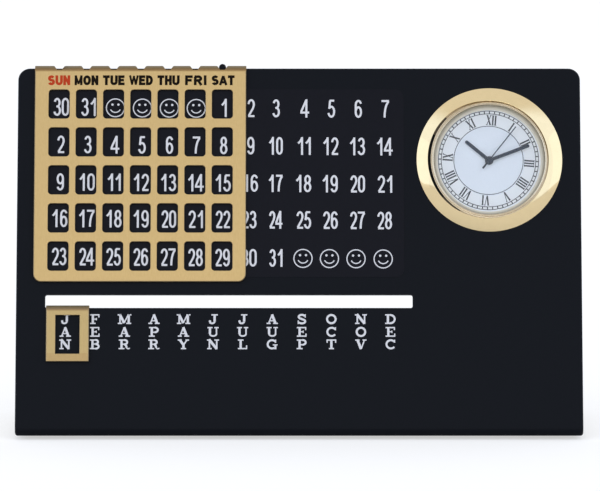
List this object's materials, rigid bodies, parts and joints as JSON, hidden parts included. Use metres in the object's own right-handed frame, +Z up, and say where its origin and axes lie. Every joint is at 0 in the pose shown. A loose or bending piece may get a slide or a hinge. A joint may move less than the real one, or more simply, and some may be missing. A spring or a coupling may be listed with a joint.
{
  "type": "desk clock with calendar",
  "caption": "Leaning sheet-metal desk clock with a perpetual calendar: a hooked plate picks the weekdays, a hooked frame picks the month, a fit-up quartz insert tells the time.",
  "frame": {"origin": "centre of the footprint on the desk surface, under the foot pads", "axes": "+X to the reader's right along the panel, +Y from the reader to the back, +Z up"},
  "size_m": [0.198, 0.066, 0.129],
  "materials": {
    "black_sheet": "satin black baked enamel on steel sheet",
    "rubber": "matte rubber",
    "label_film": "black printed film with white figures",
    "gold_sheet": "satin lacquered brass sheet",
    "gold_polished": "polished gold-coloured plating",
    "glass": "clear flat mineral glass",
    "dial_white": "cool white satin lacquer with printed figures",
    "rehaut_grey": "satin grey-olive ring",
    "hand_slate": "dark slate lacquer",
    "black_plastic": "moulded black plastic",
    "movement_plastic": "moulded light grey plastic",
    "wheel_plastic": "moulded natural acetal",
    "brass_wheel": "machined brass",
    "steel": "bright steel",
    "copper_wire": "enamelled copper winding",
    "board_green": "green circuit board",
    "resin": "black resin",
    "silicone": "dark silicone"
  },
  "bodies": {
    "stand": {"easel_panel": "black_sheet", "foot_pads": "rubber", "date_label": "label_film"},
    "calendar": {"calendar_plate": "gold_sheet"},
    "month": {"month_frame": "gold_sheet"},
    "insert": {"insert_case": "black_plastic", "bezel": "gold_polished", "crystal": "glass", "crystal_gasket": "silicone", "rehaut": "rehaut_grey", "dial": "dial_white", "friction_band": "silicone", "main_plate": "movement_plastic", "train_bridge": "movement_plastic", "bridge_screws": "steel", "stator": "steel", "coil_core": "steel", "coil_winding": "copper_wire", "circuit_board": "board_green", "driver_chip": "resin", "quartz_can": "steel", "button_cell": "steel", "negative_contact": "brass_wheel", "positive_contact": "brass_wheel"},
    "minute": {"centre_wheel": "brass_wheel", "minute_hand": "hand_slate"},
    "second": {"fourth_wheel": "wheel_plastic", "second_hand": "hand_slate"},
    "hour": {"hour_wheel": "wheel_plastic", "hour_hand": "hand_slate"},
    "third": {"third_wheel": "wheel_plastic"},
    "fifth": {"fifth_wheel": "wheel_plastic"},
    "stepper": {"rotor": "wheel_plastic"},
    "motion_work": {"minute_wheel": "wheel_plastic"},
    "setting": {"setting_knob": "black_plastic"},
    "hatch": {"battery_cover": "black_plastic"}
  },
  "joints": [
    {"name": "calendar_slide", "type": "slide", "parent": "stand", "child": "calendar", "axis": [1, 0, 0], "range_m": [0, 0.05739]},
    {"name": "month_slide", "type": "slide", "parent": "stand", "child": "month", "axis": [1, 0, 0], "range_m": [0, 0.1126]},
    {"name": "insert_turn", "type": "hinge", "parent": "stand", "child": "insert", "pos_m": [0.06685, -0.00844, 0.0958], "axis": [0, 0.9659, -0.2588], "continuous": true},
    {"name": "minute_turn", "type": "hinge", "parent": "insert", "child": "minute", "pos_m": [0.06685, -0.00844, 0.0958], "axis": [0, 0.9659, -0.2588], "continuous": true},
    {"name": "second_turn", "type": "hinge", "parent": "insert", "child": "second", "pos_m": [0.06685, -0.00844, 0.0958], "axis": [0, 0.9659, -0.2588], "continuous": true},
    {"name": "hour_turn", "type": "hinge", "parent": "insert", "child": "hour", "pos_m": [0.06685, -0.00844, 0.0958], "axis": [0, 0.9659, -0.2588], "continuous": true},
    {"name": "third_turn", "type": "hinge", "parent": "insert", "child": "third", "pos_m": [0.06181, -0.00754, 0.09915], "axis": [0, 0.9659, -0.2588], "continuous": true},
    {"name": "fifth_turn", "type": "hinge", "parent": "insert", "child": "fifth", "pos_m": [0.06956, -0.00991, 0.09031], "axis": [0, 0.9659, -0.2588], "continuous": true},
    {"name": "rotor_turn", "type": "hinge", "parent": "insert", "child": "stepper", "pos_m": [0.07137, -0.01089, 0.08665], "axis": [0, 0.9659, -0.2588], "continuous": true},
    {"name": "minute_wheel_turn", "type": "hinge", "parent": "insert", "child": "motion_work", "pos_m": [0.06957, -0.00742, 0.09962], "axis": [0, 0.9659, -0.2588], "continuous": true},
    {"name": "setting_turn", "type": "hinge", "parent": "insert", "child": "setting", "pos_m": [0.06995, -0.00618, 0.10424], "axis": [0, 0.9659, -0.2588], "continuous": true},
    {"name": "hatch_twist", "type": "hinge", "parent": "insert", "child": "hatch", "pos_m": [0.07783, 0.005, 0.09806], "axis": [0, 0.9659, -0.2588], "range_deg": [0, 45]}
  ],
  "couplings": [
    {"joint": "second_turn", "follows": "minute_turn", "ratio": 60},
    {"joint": "hour_turn", "follows": "minute_turn", "ratio": 0.083333},
    {"joint": "third_turn", "follows": "minute_turn", "ratio": -8},
    {"joint": "fifth_turn", "follows": "minute_turn", "ratio": -300},
    {"joint": "rotor_turn", "follows": "minute_turn", "ratio": 1800},
    {"joint": "minute_wheel_turn", "follows": "minute_turn", "ratio": -0.33333},
    {"joint": "setting_turn", "follows": "minute_turn", "ratio": 1}
  ]
}
